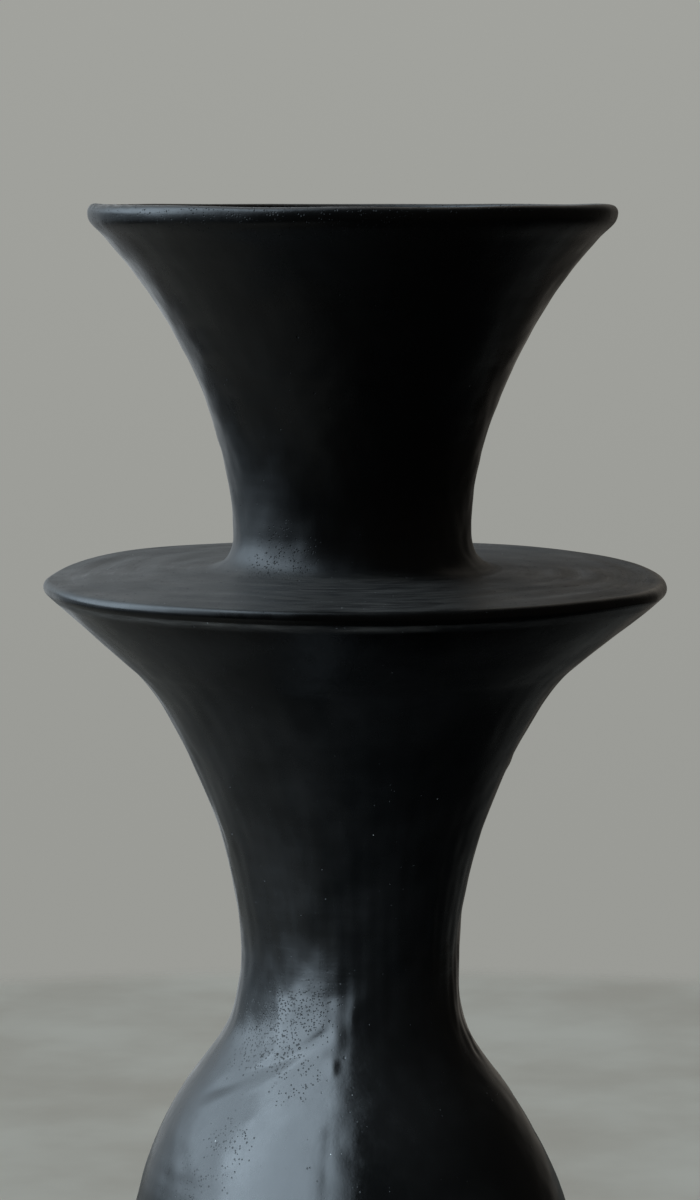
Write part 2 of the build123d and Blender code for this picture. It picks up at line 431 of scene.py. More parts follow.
def single_marks(radius, height, angle):
    """Grooves, dents and lumps that the burnishing didn't take out, outwards."""
    depth = 0.0
    for start, end, wide, rise in SLASHES:
        depth = depth + rise * slash(angle, height, SLASH_RADIUS, start, end, wide)
    for at_bearing, at_height, size, rise in MARKS:
        depth = depth + rise * spot(angle, height, radius, at_bearing, at_height, size)
    return depth


print(len(MARKS), "dents and lumps,", len(SLASHES), "grooves and ridges")

# %% [markdown]
# This is the function that moves the points. Each line of an outline says whether it is on the
# outside: only there do the marks of the tools show at full depth. The foot stays flat, so that the
# pot stands, and so does the middle of the slab.


# %% Move every point by hand
# Creases and beads all round, as (height, how far they stand out, spread)
ROUNDS = [
    (MOUTH_LEVEL - 7.0 * MM, -0.2 * MM, 2.6 * MM),
    (MOUTH_LEVEL - 3.0 * MM, 0.3 * MM, 2.1 * MM),
    (brim_out[1] - 9.0 * MM, -0.12 * MM, 9.0 * MM),
]
FIRM_FOOT = 12 * MM
FIRM_MIDDLE = 20 * MM
CRUMBS = 0.3 * MM
CRUMBS_BEARING = -72
CRUMBS_SPREAD = 22


def by_hand(radius, height, angle, skin):
    """Radius, height and sideways shift of each point after the maker's hand. Skin is 1 outside."""
    loose = np.clip(height / FIRM_FOOT, 0, 1) * np.clip(radius / FIRM_MIDDLE, 0, 1)
    on_plate = swell(height, PLATE_LEVEL - 3 * MM, 6 * MM) * np.clip(radius / NECK_RADIUS - 1, 0, 1)
    wider = slow_ring(radius, height, angle) + tool_marks(height, angle) * (0.3 + 0.7 * skin)
    wider = wider + single_marks(radius, height, angle) * skin
    for level, rise, spread in ROUNDS:
        wider = wider + rise * skin * swell(height, level, spread)
    lifted = slow_lift(radius, height, angle)
    ripple = 0.17 * MM * waves(21, 16, (2, 9), (9 * MM, 26 * MM), angle, radius)
    lifted = lifted + ripple * on_plate * skin
    crumbs = CRUMBS * np.clip(waves(22, 12, (50, 110), UPRIGHT, angle, height), 0, 1)
    on_lip = skin * smooth(height, MOUTH_LEVEL + 0.5 * MM, MOUTH_LEVEL + 2.4 * MM)
    lifted = lifted + crumbs * on_lip * swell(bearing(angle), CRUMBS_BEARING, CRUMBS_SPREAD)
    return radius + wider * loose, height + lifted * loose, drift(height) * loose + 0 * angle


moved = by_hand(waist_out[0], waist_out[1], -pi / 2, 1.0)
print("the front of the waist moves from", waist_out, "to", [round(float(value), 5) for value in moved])

# %% [markdown]
# ## Spinning a piece
# Each piece is a closed ring: its outline runs up the outside, over the top, down the inside and back.
# The Screw modifier would spin it, but here each row goes through the maker's hand on the way. The
# outline is given as lines, each with a word for what it is: "out" is burnished, "in" and "under" are
# raw, and "seam" is a face pressed against a neighbour. Each line leaves its last point to the next
# line. Where the outline turns a corner, the edge is made sharp, so that the shading stays smooth on
# both sides of it and doesn't smear across.

# %% From lines to a piece
COLUMNS = 400
# The turn, in degrees, above which a corner of the outline makes a sharp edge
SHARP_TURN = 22.0
# A disc has a tiny ring at its middle, which is joined into one point
MIDDLE_RADIUS = 1e-7
JOIN_WITHIN = 1e-6
pieces = {}


def closed_outline(lines):
    """One list of points, with each point's skin and each row's kind."""
    points, kinds = [], []
    for kind, line in lines:
        points.append(line[:-1])
        kinds += [kind] * (len(line) - 1)
    points = np.concatenate(points)
    outside = np.array([kind == "out" for kind in kinds])
    skin = (outside | np.roll(outside, 1)).astype(float)
    return points, kinds, skin


def corner_rows(points):
    """Rows where the outline turns sharply."""
    ahead = np.roll(points, -1, axis=0) - points
    heading = np.degrees(np.arctan2(ahead[:, 1], ahead[:, 0]))
    turn = (heading - np.roll(heading, 1) + 180) % 360 - 180
    return np.abs(turn) > SHARP_TURN


def spin(name, lines, solid_middle=False):
    """Makes a closed piece by spinning its outline, with the maker's hand in it."""
    points, kinds, skin = closed_outline(lines)
    angle = np.linspace(0, 2 * pi, COLUMNS, endpoint=False)[None, :]
    radius, height, aside = by_hand(points[:, :1], points[:, 1:], angle, skin[:, None])
    places = np.stack([radius * np.cos(angle) + aside, radius * np.sin(angle), height + 0 * angle], -1)
    rows = len(points)
    if solid_middle:
        rows -= 1
    row, column = np.meshgrid(np.arange(rows), np.arange(COLUMNS), indexing="ij")
    above = (row + 1) % len(points)
    beside = (column + 1) % COLUMNS
    this_row = row * COLUMNS
    next_row = above * COLUMNS
    corners = [this_row + column, this_row + beside, next_row + beside, next_row + column]
    faces = np.stack(corners, -1).reshape(-1, 4)
    mesh = bpy.data.meshes.new(name)
    mesh.from_pydata(places.reshape(-1, 3), [], faces)
    mesh.polygons.foreach_set("use_smooth", [True] * len(faces))
    unburnished = np.repeat([kind != "out" for kind in kinds[:rows]], COLUMNS).astype(np.int32)
    mesh.polygons.foreach_set("material_index", unburnished)
    ends = np.zeros(len(mesh.edges) * 2, np.int32)
    mesh.edges.foreach_get("vertices", ends)
    end_rows = ends.reshape(-1, 2) // COLUMNS
    sharp = (end_rows[:, 0] == end_rows[:, 1]) & corner_rows(points)[end_rows[:, 0]]
    mesh.attributes.new("sharp_edge", "BOOLEAN", "EDGE").data.foreach_set("value", sharp)
    if solid_middle:
        join_middle(mesh)
    piece = bpy.data.objects.new(name + "_made", mesh)
    bpy.context.scene.collection.objects.link(piece)
    pieces[name] = piece
    print(name, "rows", rows, "faces", len(mesh.polygons), "sharp rows", int(corner_rows(points).sum()))


def join_middle(mesh):
    """Makes one point of the tiny ring at a disc's middle."""
    work = bmesh.new()
    work.from_mesh(mesh)
    bmesh.ops.remove_doubles(work, verts=work.verts, dist=JOIN_WITHIN)
    work.to_mesh(mesh)
    work.free()


# %% [markdown]
# ## The slab
# The pot stands on a flat slab of clay, with its lower edge wiped soft. A bevelled cylinder would do
# for the slab alone, but its rim has to meet the body point for point, so it is spun like the rest.
# Its outline starts and ends at the middle.

# %% Slab
# How far the soft lower edge reaches, both ways
FOOT_WIPED = 0.5 * MM
foot_start = foot_corner - [FOOT_WIPED, 0]
foot_end = foot_corner + rising(FOOT_LEAN) * FOOT_WIPED
middle_below = np.array([MIDDLE_RADIUS, 0.0])
middle_above = np.array([MIDDLE_RADIUS, foot_out[1]])
spin(
    "base_slab",
    [
        ("under", straight(middle_below, foot_start, 24)),
        ("out", bend(foot_start, foot_corner, foot_end, 6)),
        ("out", straight(foot_end, foot_out, 8)),
        ("in", straight(foot_out, middle_above, 30)),
        ("in", np.array([middle_above, middle_above])),
    ],
    solid_middle=True,
)

# %% [markdown]
# ## The round body
# The lower half of the body is raised on the slab as a bowl, and the upper half closes in to the
# shoulder. A Solidify modifier could give one surface its thickness. Here the inside is a line of its
# own with the same leans as the outside, so that the edges at a seam are where its neighbour's are.

# %% A course of wall
SEAM_ROWS = 4


def course(name, outside, inside):
    """A course between two seams, from the lines of its outside and inside, both rising."""
    spin(
        name,
        [
            ("out", outside),
            ("seam", straight(outside[-1], inside[-1], SEAM_ROWS)),
            ("in", inside[::-1]),
            ("seam", straight(inside[0], outside[0], SEAM_ROWS)),
        ],
    )


# %% Bowl and dome
BOWL_PULLS = (0.34, 0.40)
DOME_PULLS = (0.46, 0.12)
bowl_inside = wall_line(foot_in, FOOT_LEAN, belly_in, 0, BOWL_PULLS, 40)
dome_inside = wall_line(belly_in, 0, shoulder_in, SHOULDER_LEAN, DOME_PULLS, 40)
bowl_outside = wall_line(foot_out, FOOT_LEAN, belly_out, 0, BOWL_PULLS, 84)
dome_outside = wall_line(belly_out, 0, shoulder_out, SHOULDER_LEAN, DOME_PULLS, 90)
course("body_bowl", bowl_outside, bowl_inside)
course("body_dome", dome_outside, dome_inside)

# %% [markdown]
# ## The lower trumpet
# It is raised in three courses: a collar that draws in to the waist, a course that opens again, and a
# wide one with a straight brim, cut off along the plate's underside for the plate to rest on. One
# tall curve could draw all three, but each was a step of the work and has its own pulls.

# %% Three courses
COLLAR_PULLS = (0.50, 0.40)
FLARE_PULLS = (0.34, 0.31)
BRIM_PULLS = (0.47, 0.15)
collar_inside = wall_line(shoulder_in, SHOULDER_LEAN, waist_in, 0, COLLAR_PULLS, 30)
collar_outside = wall_line(shoulder_out, SHOULDER_LEAN, waist_out, 0, COLLAR_PULLS, 64)
flare_inside = wall_line(waist_in, 0, rise_in, RISE_LEAN, FLARE_PULLS, 34)
flare_outside = wall_line(waist_out, 0, rise_out, RISE_LEAN, FLARE_PULLS, 76)
course("waist_collar", collar_outside, collar_inside)
course("lower_flare", flare_outside, flare_inside)
spin(
    "flare_brim",
    [
        ("out", wall_line(rise_out, RISE_LEAN, bend_out, BRIM_LEAN, BRIM_PULLS, 50)),
        ("out", straight(bend_out, brim_top, 44)),
        ("seam", straight(brim_top, plate_under(edge_seam), SEAM_ROWS)),
        ("seam", straight(plate_under(edge_seam), brim_in, 6)),
        ("in", straight(brim_in, bend_in, 16)),
        ("in", wall_line(rise_in, RISE_LEAN, bend_in, BRIM_LEAN, BRIM_PULLS, 24)[::-1]),
        ("seam", straight(rise_in, rise_out, SEAM_ROWS)),
    ],
)

# %% [markdown]
# ## Coils inside
# Two seams of the body are closed on the inside with a coil of soft clay, smeared flat with a
# finger. A bent cylinder would cut into the wall or float off it. So the band is made from the wall's
# own inside line: the same points, moved in by a height that fades out to nothing at both ends.

# %% Bands over the seams
BAND_LENGTH = 18.0 * MM
BAND_DEPTH = 3.4 * MM
# Above 1, a band's edges are smeared out thinner
BAND_SMEAR = 1.3


def band(name, below, above):
    """A smeared coil over the seam where one inside line ends and the next begins."""
    seam = above[0]
    line = np.concatenate([below[:-1], above])
    line = line[np.linalg.norm(line - seam, axis=1) < BAND_LENGTH / 2]
    share = np.cumsum(np.r_[0, np.linalg.norm(np.diff(line, axis=0), axis=1)])
    share = share / share[-1] * 2 - 1
    ahead = np.gradient(line, axis=0)
    inwards = np.column_stack([-ahead[:, 1], ahead[:, 0]]) / np.linalg.norm(ahead, axis=1)[:, None]
    proud = line + inwards * (BAND_DEPTH * (1 - share**2) ** BAND_SMEAR)[:, None]
    spin(name, [("seam", line), ("in", proud[::-1])])


band("belly_coil", bowl_inside, dome_inside)
band("shoulder_coil", dome_inside, collar_inside)

# %% [markdown]
# The sharp angle between the brim and the plate is filled with a coil too, pressed hollow with a
# finger. A Bevel modifier would need the two to be one mesh, so the coil has an outline of its own:
# two straight lines in the angle, and a bend that is pulled most of the way into it.

# %% Coil in the corner
CORNER_LEG = 10.0 * MM
coil_under_plate = brim_in - outwards * CORNER_LEG
coil_on_brim = brim_in - rising(BRIM_LEAN) * CORNER_LEG
corner_pull = brim_in * 0.7 + (coil_under_plate + coil_on_brim) * 0.15
spin(
    "corner_coil",
    [
        ("seam", straight(coil_on_brim, brim_in, 8)),
        ("seam", straight(brim_in, coil_under_plate, 8)),
        ("in", bend(coil_under_plate, corner_pull, coil_on_brim, 24)),
    ],
)

# %% [markdown]
# ## The plate
# A flat slab closes the trumpet, with a hole for the neck, and a coil is luted round its edge and
# rounded over. The edge could be a bevel on the slab. It is a piece of its own, as on the real pot,
# and its rows are close together, because it carries the thin bright line that draws the plate.
#
# Another coil, smeared out over the plate and up the neck, covers the angle where the neck stands.
# The plate steps back behind it, and so does the neck further down, so that the coil's thin edge is
# the only surface there and no line shows.

# %% Plate and its edge
# How far the neck's coil reaches out on the plate, and how deep its neighbours step back behind it
NECK_FILLET = 10.5 * MM
STEP_BACK = 0.4 * MM
coil_on_plate = plate_top(NECK_RADIUS + NECK_FILLET)
under_coil = coil_on_plate - [0, STEP_BACK]
spin(
    "plate",
    [
        ("in", straight(plate_under(neck_bore), plate_under(edge_seam), 40)),
        ("seam", straight(plate_under(edge_seam), plate_top(edge_seam), SEAM_ROWS)),
        ("out", straight(plate_top(edge_seam), coil_on_plate, 80)),
        ("seam", np.array([coil_on_plate, under_coil])),
        ("seam", straight(under_coil, plate_top(neck_bore), 20)),
        ("in", straight(plate_top(neck_bore), plate_under(neck_bore), 4)),
    ],
)
spin(
    "plate_edge_coil",
    [
        ("out", straight(brim_top, edge_low, 3)),
        ("out", arc(edge_centre, EDGE_ROUND, -BRIM_LEAN, 90 - PLATE_FALL, 20)),
        ("out", straight(edge_high, plate_top(edge_seam), 10)),
        ("seam", straight(plate_top(edge_seam), plate_under(edge_seam), SEAM_ROWS)),
        ("seam", straight(plate_under(edge_seam), brim_top, SEAM_ROWS)),
    ],
)

# %% [markdown]
# ## The upper trumpet
# It stands on the plate round the hole, and it is burnished inside too, as far as a hand reaches.
# It could be a copy of the lower trumpet, but it opens in one sweep, so one long line draws it.

# %% Trumpet
TRUMPET_PULLS = (0.40, 0.24)
# The row of the trumpet's outside where the neck's coil ends
COIL_ROW = 20
trumpet_outside = wall_line(neck_out, 0, mouth_out, MOUTH_LEAN, TRUMPET_PULLS, 150)
coil_on_neck = trumpet_outside[COIL_ROW]
behind_coil = coil_on_neck - [STEP_BACK, 0]
neck_corner = plate_top(NECK_RADIUS)
neck_foot = neck_corner - [STEP_BACK, 0]
spin(
    "upper_flare",
    [
        ("seam", straight(neck_foot, behind_coil, 8)),
        ("seam", np.array([behind_coil, coil_on_neck])),
        ("out", trumpet_outside[COIL_ROW:]),
        ("seam", straight(mouth_out, mouth_in, SEAM_ROWS)),
        ("out", wall_line(neck_in, 0, mouth_in, MOUTH_LEAN, TRUMPET_PULLS, 80)[::-1]),
        ("out", straight(neck_in, plate_top(neck_bore), 6)),
        ("seam", straight(plate_top(neck_bore), neck_foot, SEAM_ROWS)),
    ],
)

# %% [markdown]
# ## The neck's coil
# This coil makes the soft foot of the neck. A round fillet would show where it starts. This one
# leaves the plate along the plate and reaches the wall along the wall, and keeps to both for longer
# than a circle does, so the shine runs over its ends.

# %% Neck coil
up_the_wall = trumpet_outside[COIL_ROW + 1] - coil_on_neck
fillet_corner = meet(coil_on_neck, up_the_wall, neck_corner, outwards)
deep_corner = neck_corner - [STEP_BACK, STEP_BACK]
spin(
    "neck_coil",
    [
        ("seam", straight(deep_corner, under_coil, 8)),
        ("seam", np.array([under_coil, coil_on_plate])),
        ("out", held_bend(coil_on_plate, fillet_corner, coil_on_neck, 40)),
        ("seam", np.array([coil_on_neck, behind_coil])),
        ("seam", straight(behind_coil, deep_corner, 8)),
    ],
)
print("neck coil rises", round((coil_on_neck[1] - neck_corner[1]) / MM, 2), "mm")

# %% [markdown]
# ## The lip
# The mouth ends in a round bead, a little thinner than the wall and turned up from it. It could be a
# torus laid on the edge. Drawn as an outline, it grows out of the wall without a crease.

# %% Lip
LIP_PULLS = (0.40, 0.30)
spin(
    "mouth_lip_coil",
    [
        ("out", wall_line(mouth_out, MOUTH_LEAN, lip_out, 0, LIP_PULLS, 20)),
        ("out", arc(lip_centre, LIP_ROUND, 0, 180, 22)),
        ("out", wall_line(mouth_in, MOUTH_LEAN, lip_in, 0, LIP_PULLS, 14)[::-1]),
        ("seam", straight(mouth_in, mouth_out, SEAM_ROWS)),
    ],
)

# %% [markdown]
# ## A small kit for finishes
# A finish is a network of shader nodes. It could be wired by hand in the Shader Editor, but sums on
# numbers are easier to read as sums: a class wraps an output socket, and adding or multiplying two of
# them adds the Math node that does it. Every other node is made by one method, which takes its type,
# its settings, and what goes into its sockets.


class Amount:
    """A value that varies over a surface."""

    def __init__(self, recipe, socket):
        self.recipe = recipe
        self.socket = socket

    def math(self, operation, first, second=0.0):
        return self.recipe.node("ShaderNodeMath", {"operation": operation}, {0: first, 1: second})

    def __add__(self, other):
        return self.math("ADD", self, other)

    def __sub__(self, other):
        return self.math("SUBTRACT", self, other)

    def __rsub__(self, other):
        return self.math("SUBTRACT", other, self)

    def __mul__(self, other):
        return self.math("MULTIPLY", self, other)

    def __truediv__(self, other):
        return self.math("DIVIDE", self, other)

    __radd__ = __add__
    __rmul__ = __mul__

    def fade(self, low, high, start=0.0, end=1.0):
        """Goes smoothly from start to end while this value goes from low to high."""
        sockets = {"Value": self, "From Min": low, "From Max": high, "To Min": start, "To Max": end}
        return self.recipe.node("ShaderNodeMapRange", {"interpolation_type": "SMOOTHSTEP"}, sockets)


class Recipe:
    """The node tree of one finish."""

    def __init__(self, tree):
        self.tree = tree
        self.tree.nodes.clear()

    def node(self, kind, settings, sockets, output=0):
        made = self.tree.nodes.new(kind)
        for name, value in settings.items():
            setattr(made, name, value)
        for name, value in sockets.items():
            if isinstance(value, Amount):
                self.tree.links.new(value.socket, made.inputs[name])
            else:
                made.inputs[name].default_value = value
        return Amount(self, made.outputs[output]) if made.outputs else made

    def vector(self, operation, first, second=(0, 0, 0), output=0):
        return self.node("ShaderNodeVectorMath", {"operation": operation}, {0: first, 1: second}, output)

    def colour(self, share, first, second):
        return self.node("ShaderNodeMix", {"data_type": "RGBA"}, {0: share, 6: first, 7: second}, 2)

    def noise(self, place, scale, detail, rough):
        sockets = {"Vector": place, "Scale": scale, "Detail": detail, "Roughness": rough}
        return self.node("ShaderNodeTexNoise", {}, sockets)

    def part(self, place, axis):
        """One of the three numbers of a place."""
        return self.node("ShaderNodeSeparateXYZ", {}, {"Vector": place}, axis)


def finish_named(name):
    material = bpy.data.materials.new(name)
    material.use_nodes = True
    return material, Recipe(material.node_tree)


def clay_skin(recipe, tone, rough, relief, ior, specular):
    """Ends a clay finish: its colour and roughness, with its relief, in metres, as a bump."""
    bump = recipe.node("ShaderNodeBump", {}, {"Strength": 1.0, "Distance": 1.0, "Height": relief}, "Normal")
    skin = {
        "Base Color": tone,
        "Roughness": rough,
        "Normal": bump,
        "IOR": ior,
        "Specular IOR Level": specular,
    }
    shader = recipe.node("ShaderNodeBsdfPrincipled", {}, skin)
    recipe.node("ShaderNodeOutputMaterial", {}, {"Surface": shader})


# %% [markdown]
# ## Burnished clay
# Smoke-fired clay is nearly black all through. What the eye sees is its shine: where the stone
# pressed hard the skin is compact and glossy, and where it skipped the skin is dull, with open pits.
# So the colour hardly varies, and the roughness and the small relief carry the finish.
#
# A pattern of lines would look printed. The streaks here are noise, drawn out the way the stone was
# rubbed by shrinking one direction of its coordinates: up and down on the body and the trumpets, and
# round the axis on the plate. Pits come from Voronoi cells, each with a lot of its own.


# %% Parts of the finish
def pits(recipe, place, scale, size, share):
    """Small round pits: 1 in a pit. Share is the part of the cells that have one."""
    settings = {"feature": "F1"}
    cell = {"Vector": place, "Scale": scale, "Randomness": 1.0}
    distance = recipe.node("ShaderNodeTexVoronoi", settings, cell, "Distance")
    tint = recipe.node("ShaderNodeTexVoronoi", settings, cell, "Color")
    lot = recipe.node("ShaderNodeSeparateColor", {}, {"Color": tint}, "Red")
    own = recipe.node("ShaderNodeSeparateColor", {}, {"Color": tint}, "Green")
    hollow = (distance / (own * 0.7 + 0.5)).fade(size * 0.55, size, 1.0, 0.0)
    return hollow * (share - lot).fade(0.0, 0.02)


def near(recipe, place, centre, size):
    """1 near a place on the pot, 0 from the given distance outwards."""
    distance = recipe.vector("DISTANCE", place, centre, "Value")
    return distance.fade(size * 0.3, size, 1.0, 0.0)


def on_wall(at_bearing, radius, height):
    """The place at a bearing, a radius and a height."""
    return (radius * sin(radians(at_bearing)), -radius * cos(radians(at_bearing)), height)


print("a place on the shoulder:", on_wall(-45, shoulder_out[0], shoulder_out[1]))

# %% [markdown]
# The stone skipped places in the hollow above the shoulder, where it is hard to turn, and a few below.
# They could be painted on the mesh. Soft balls of space, each with a place and a size, need no map.

# %% Where the stone skipped
# As (bearing, radius, height, size, how much)
SKIPPED = [
    (-50, 39 * MM, 146 * MM, 17 * MM, 1.0),
    (-34, 40 * MM, 151 * MM, 17 * MM, 1.0),
    (-20, 38 * MM, 157 * MM, 14 * MM, 1.0),
    (-24, 46 * MM, 137 * MM, 13 * MM, 0.6),
    (-41, 57 * MM, 114 * MM, 13 * MM, 0.5),
    (-48, 64 * MM, 101 * MM, 17 * MM, 0.5),
]
# The dull place at the front of the neck's foot, as (bearing, radius, height) and its size
NECK_DULL = (-35, 41 * MM, 299 * MM)
NECK_DULL_SIZE = 17 * MM


def skipped_places(recipe, place):
    skipped = 0.0
    for at_bearing, radius, height, size, amount in SKIPPED:
        skipped = skipped + near(recipe, place, on_wall(at_bearing, radius, height), size) * amount
    return skipped


print(len(SKIPPED), "skipped places")

# %% [markdown]
# The finish is built up in the order of the work: first the regions of the pot, then the patterns,
# the pits, the shine, the colour and the relief. Each piece could have a finish of its own, but with
# one network over both trumpets and the body no seam shows.

# %% The finish
# Two tones each, between which the clay and the plate's top vary (the plate's paler brown is a painted
# reflection of the warm wall), then the painted shade under the rim and the dust
CLAY_TONES = ((0.0026, 0.0028, 0.0028, 1), (0.0066, 0.0064, 0.0062, 1))
# Painted reflection: the plate's paler, browner tones stand in for the warm wall mirrored in it
PLATE_TONES_PAINTED_REFLECTION = ((0.015, 0.014, 0.013, 1), (0.080, 0.073, 0.064, 1))
# Painted shade: the near-black that darkens the brim right under the plate's rim
PAINTED_RIM_SHADE = (0.0006, 0.0006, 0.0006, 1)
DUST_TONE = (0.60, 0.60, 0.57, 1)
BURNISHED_IOR = 1.58
BURNISHED_GLOSS = 0.5


def burnished(name):
    material, recipe = finish_named(name)
    place = recipe.node("ShaderNodeTexCoord", {}, {}, "Object")
    across = recipe.part(place, "X")
    deep = recipe.part(place, "Y")
    height = recipe.part(place, "Z")
    radius = recipe.vector("LENGTH", recipe.vector("MULTIPLY", place, (1, 1, 0)), output="Value")

    # Regions: the plate's top, the body, the neck, the lip, and the brim right under the plate's rim, where
    # shade is painted
    on_plate = height.fade(283 * MM, 286 * MM) * height.fade(299 * MM, 295.5 * MM)
    on_plate = on_plate * radius.fade(38 * MM, 48 * MM) * radius.fade(100 * MM, 97 * MM)
    on_body = height.fade(166 * MM, 152 * MM)
    at_neck = near(recipe, place, on_wall(*NECK_DULL), NECK_DULL_SIZE)
    soft_neck = height.fade(290 * MM, 296 * MM) * height.fade(365 * MM, 315 * MM)
    at_lip = height.fade(MOUTH_LEVEL - 8 * MM, MOUTH_LEVEL - 4 * MM)
    # Where the painted shade under the rim's overhang goes
    painted_shade_under_rim = height.fade(274 * MM, 284 * MM) * height.fade(291 * MM, 288 * MM)

    # Blotches, long strokes of the stone and fine grain
    blotch = recipe.noise(place, 26.0, 3.0, 0.55)
    patch = recipe.noise(place, 75.0, 4.0, 0.6)
    upright = recipe.vector("MULTIPLY", place, (1, 1, 0.07))
    stroke = recipe.noise(upright, 190.0, 3.0, 0.6)
    fine_stroke = recipe.noise(upright, 900.0, 2.0, 0.6)
    level = recipe.vector("MULTIPLY", place, (0.1, 0.1, 1))
    ring = recipe.noise(level, 230.0, 3.0, 0.6)
    turned = recipe.node("ShaderNodeCombineXYZ", {}, {"X": radius * 9.0, "Y": across, "Z": deep})
    scratch = recipe.noise(turned, 60.0, 5.0, 0.65)
    grain = recipe.noise(place, 1500.0, 2.0, 0.6)

    # Pits, the larger craters, pale specks and finer dust
    skipped = skipped_places(recipe, place)
    tufts = recipe.noise(place, 150.0, 3.0, 0.6)
    share = skipped * 0.85 + at_neck * 0.7 + at_lip * 0.35 + patch.fade(0.6, 0.8) * 0.2
    share = (share + on_plate * 0.1 + 0.015) * tufts.fade(0.3, 0.54)
    pit = pits(recipe, place, 1300.0, 0.42, share)
    crater = pits(recipe, place, 420.0, 0.2, skipped * 0.25 + on_plate * 0.08 + 0.02)
    speck = pits(recipe, place, 300.0, 0.075, on_plate * 0.22 + 0.04)
    dust = pits(recipe, place, 800.0, 0.2, on_plate * 0.10 + 0.01)

    # Shine
    dull = blotch.fade(0.35, 0.7) * 0.10 + patch.fade(0.35, 0.7) * 0.05
    dull = dull + (stroke - 0.5) * 0.2 * (1 - on_plate)
    dull = dull + (ring - 0.5) * 0.10 * (1 - on_body)
    dull = dull + (fine_stroke - 0.5) * 0.12 * on_body
    polished = on_body * across.fade(-24 * MM, -6 * MM)
    rough = 0.21 + dull - polished * 0.085 + pit * 0.35 + crater * 0.3 + speck * 0.4
    rough = rough + at_lip * 0.07 + at_neck * 0.06 + soft_neck * 0.12
    rough = rough + on_plate * (0.24 + (scratch - 0.5) * 0.45)

    # Colour
    black = recipe.colour(blotch.fade(0.3, 0.7), *CLAY_TONES)
    # Painted reflection: the plate's top is paler and browner than the clay, standing in for the warm wall
    # mirrored in it, varied by its scratches
    plate_painted_reflection = recipe.colour(scratch.fade(0.32, 0.7), *PLATE_TONES_PAINTED_REFLECTION)
    # Painted shade: the clay right under the plate's rim is made darker, as the shade under the rim's
    # overhang
    black = recipe.colour(painted_shade_under_rim, black, PAINTED_RIM_SHADE)
    tone = recipe.colour(on_plate, black, plate_painted_reflection)
    tone = recipe.colour(speck * 0.9 + dust * 0.2, tone, DUST_TONE)

    # Relief
    relief = (blotch * 0.30 + patch * 0.10) * MM
    relief = relief + (stroke * (1 - on_plate) * 0.05 + ring * (1 - on_body) * 0.045) * MM
    relief = relief + (scratch * on_plate * 0.13 + tufts * (at_lip + at_neck) * 0.05 + grain * 0.008) * MM
    relief = relief - pit * 0.1 * MM - crater * 0.2 * MM + dust * 0.04 * MM
    clay_skin(recipe, tone, rough, relief, BURNISHED_IOR, BURNISHED_GLOSS)
    return material


# The plate has a slot of its own in the frame, so it takes the same network under its own name
burnished_clay = burnished("burnished_clay")
plate_clay = burnished("plate_clay")
print("burnished clay has", len(burnished_clay.node_tree.nodes), "nodes")

# %% [markdown]
# ## Raw clay
# The inside and the underside were never burnished. They are dull and a little browner, with rings
# from turning, and with grog, the crushed fired clay that is kneaded in, showing as paler grains. The
# burnished finish made rougher would still have its streaks, so raw clay is a finish of its own.


# %% Raw clay
RAW_TONES = ((0.020, 0.0195, 0.019, 1), (0.042, 0.040, 0.037, 1))
GROG_TONE = (0.15, 0.14, 0.13, 1)
RAW_IOR = 1.5
RAW_GLOSS = 0.4


def raw(name):
    material, recipe = finish_named(name)
    place = recipe.node("ShaderNodeTexCoord", {}, {}, "Object")
    level = recipe.vector("MULTIPLY", place, (0.06, 0.06, 1))
    ring = recipe.noise(level, 300.0, 4.0, 0.6)
    cloud = recipe.noise(place, 45.0, 5.0, 0.6)
    grit = recipe.noise(place, 1100.0, 3.0, 0.7)
    grog = pits(recipe, place, 500.0, 0.3, 0.08)
    tone = recipe.colour(cloud.fade(0.3, 0.7), *RAW_TONES)
    tone = recipe.colour(grog * 0.35, tone, GROG_TONE)
    relief = (ring * 0.25 + grit * 0.07 - grog * 0.15) * MM
    clay_skin(recipe, tone, 0.62 + cloud * 0.2, relief, RAW_IOR, RAW_GLOSS)
    return material


raw_clay = raw("raw_clay")
print("raw clay has", len(raw_clay.node_tree.nodes), "nodes")

# %% [markdown]
# ## Putting it together
# Every piece stands for one piece of the frame, rides on the pot's one body, and takes its finish
# from the slot that the frame names. Each has raw clay as its second material, for the faces that
# were never burnished. The pieces of the frame get a finish too, although the made ones replace them.

# %% Finish every piece and fit it to the frame
FINISHES = {"burnished_clay": burnished_clay, "plate_clay": plate_clay, "raw_clay": raw_clay}
SLOTS = {
    "base_slab": "raw_clay",
    "belly_coil": "raw_clay",
    "shoulder_coil": "raw_clay",
    "corner_coil": "raw_clay",
    "plate": "plate_clay",
}

for name, piece in pieces.items():
    slot = SLOTS.get(name, "burnished_clay")
    # The slab's rim is burnished with the body, although its slot is raw
    skin_finish = burnished_clay if name == "base_slab" else FINISHES[slot]
    piece.data.materials.append(skin_finish)
    piece.data.materials.append(raw_clay)
    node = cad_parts[name]
    node.data.materials.clear()
    node.data.materials.append(FINISHES[slot])
    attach(piece, "root")
    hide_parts(name)

missing = sorted(set(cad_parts) - set(pieces))
print(len(pieces), "pieces finished, left over:", missing)

# %% [markdown]
# ## The studio
# The pot stands on a pale floor in front of a pale wall. A black shiny pot shows little but what it
# mirrors, so the studio is made for its reflections: a wide window at the left, a dim wall round it,
# and a faint glow from the wall behind.
#
# Walls and lamps could stand round the pot. Instead the room is painted into the world by direction,
# because nothing of it is near enough to matter. A direction is a turn round the pot, 0 at the front
# and negative to the left, and a climb, 0 when level. Both are in degrees. The camera sees a plain
# pale wall instead, which a Light Path node sorts out.

# %% Window and room
WINDOW_STRENGTH = 3.6
LEFT_WALL_STRENGTH = 0.28
ROOM_STRENGTH = 0.022
DAYLIGHT = (0.70, 0.86, 1.0, 1)
